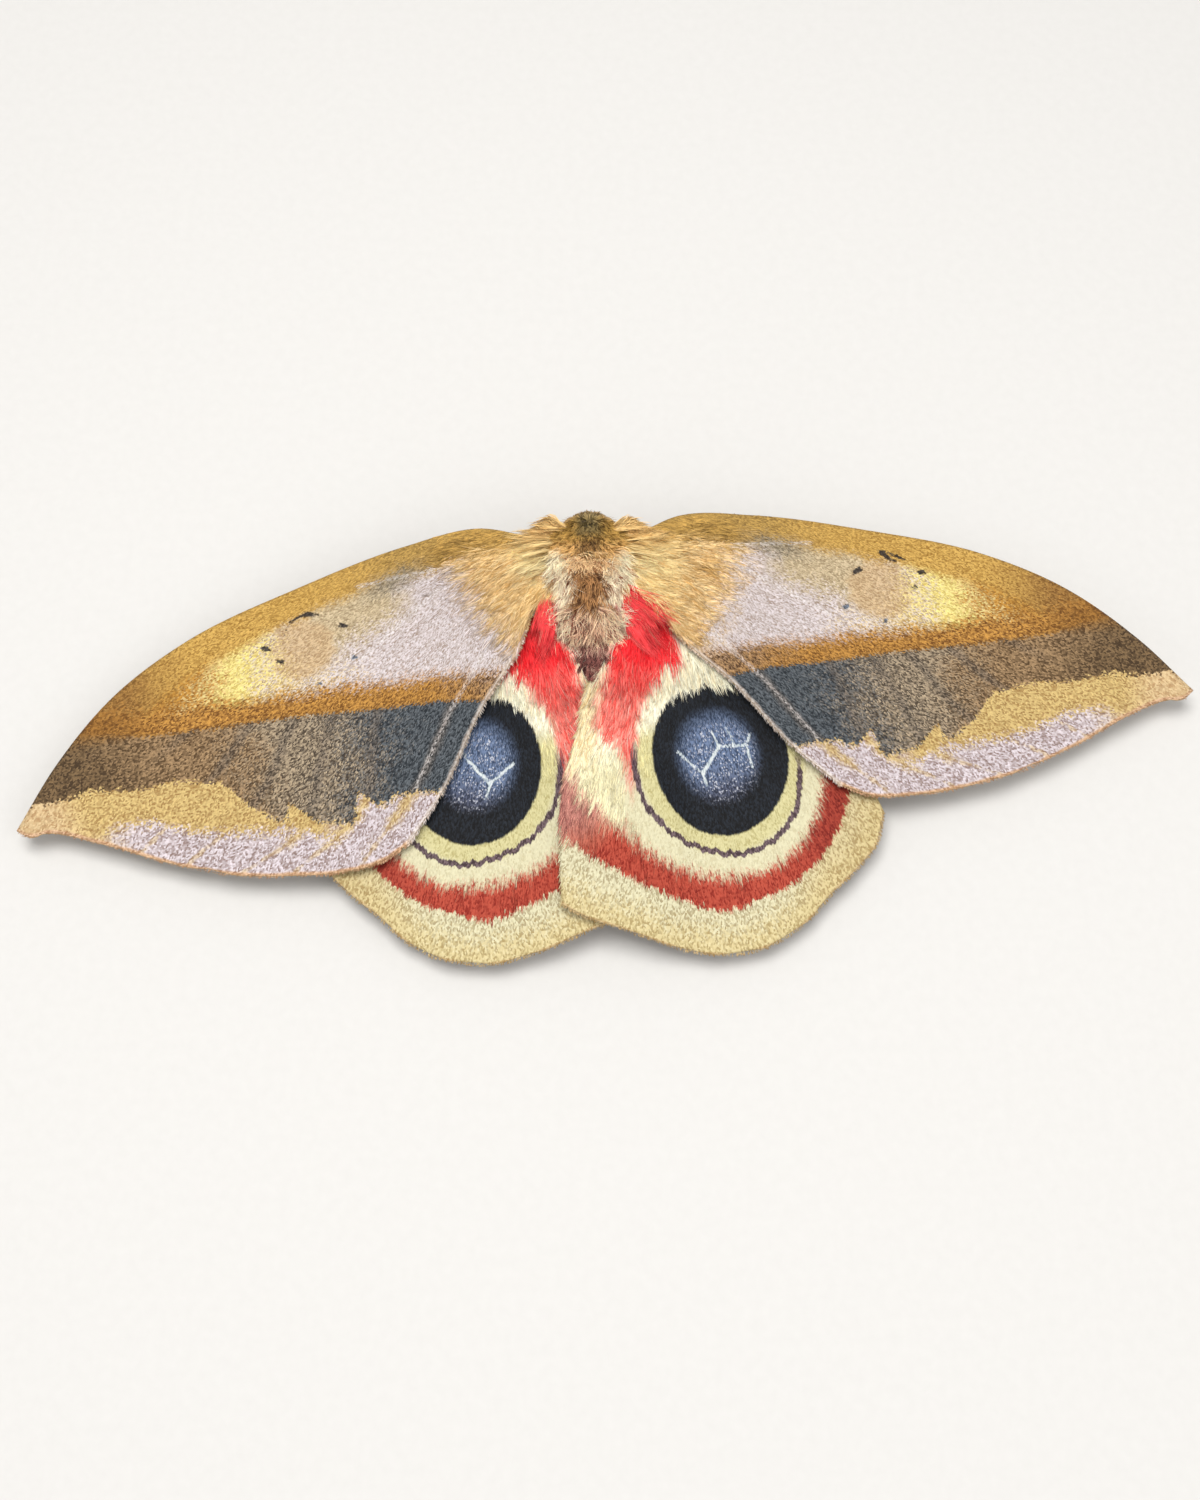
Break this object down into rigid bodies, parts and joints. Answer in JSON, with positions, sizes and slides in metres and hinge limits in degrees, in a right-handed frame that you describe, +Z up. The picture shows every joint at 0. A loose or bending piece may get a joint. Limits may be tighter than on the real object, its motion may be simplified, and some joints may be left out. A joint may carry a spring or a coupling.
{
  "type": "moth",
  "caption": "Life-size bullseye moth at rest with its wings spread flat, fore wings swept back and the hind wings' round eyespots shown.",
  "frame": {"origin": "on the floor under the middle of the plan box", "axes": "+Y towards the head, +X towards the moth's right wings, +Z up from the floor"},
  "size_m": [0.1174, 0.0484, 0.0114],
  "materials": {
    "thorax_fur": "long soft hair, ochre to rusty brown",
    "head_fur": "short soft hair, olive brown",
    "abdomen_fur": "soft hair, purple brown to rusty red",
    "fore_wing": "matt scales, golden brown and lilac pink",
    "hind_wing": "matt scales, sandy cream with a black eyespot and red band",
    "leg_fur": "short hair, rusty brown",
    "antenna": "matt, straw brown",
    "eye": "dark, fine faceted gloss"
  },
  "bodies": {
    "root": {"thorax": "thorax_fur", "head": "head_fur", "abdomen": "abdomen_fur", "eye_left": "eye", "eye_right": "eye", "antenna_left": "antenna", "antenna_right": "antenna", "palp_left": "head_fur", "palp_right": "head_fur", "forewing_left": "fore_wing", "forewing_right": "fore_wing", "hindwing_left": "hind_wing", "hindwing_right": "hind_wing", "front_leg_left": "leg_fur", "front_leg_right": "leg_fur", "middle_leg_left": "leg_fur", "middle_leg_right": "leg_fur", "hind_leg_left": "leg_fur", "hind_leg_right": "leg_fur"}
  },
  "joints": []
}
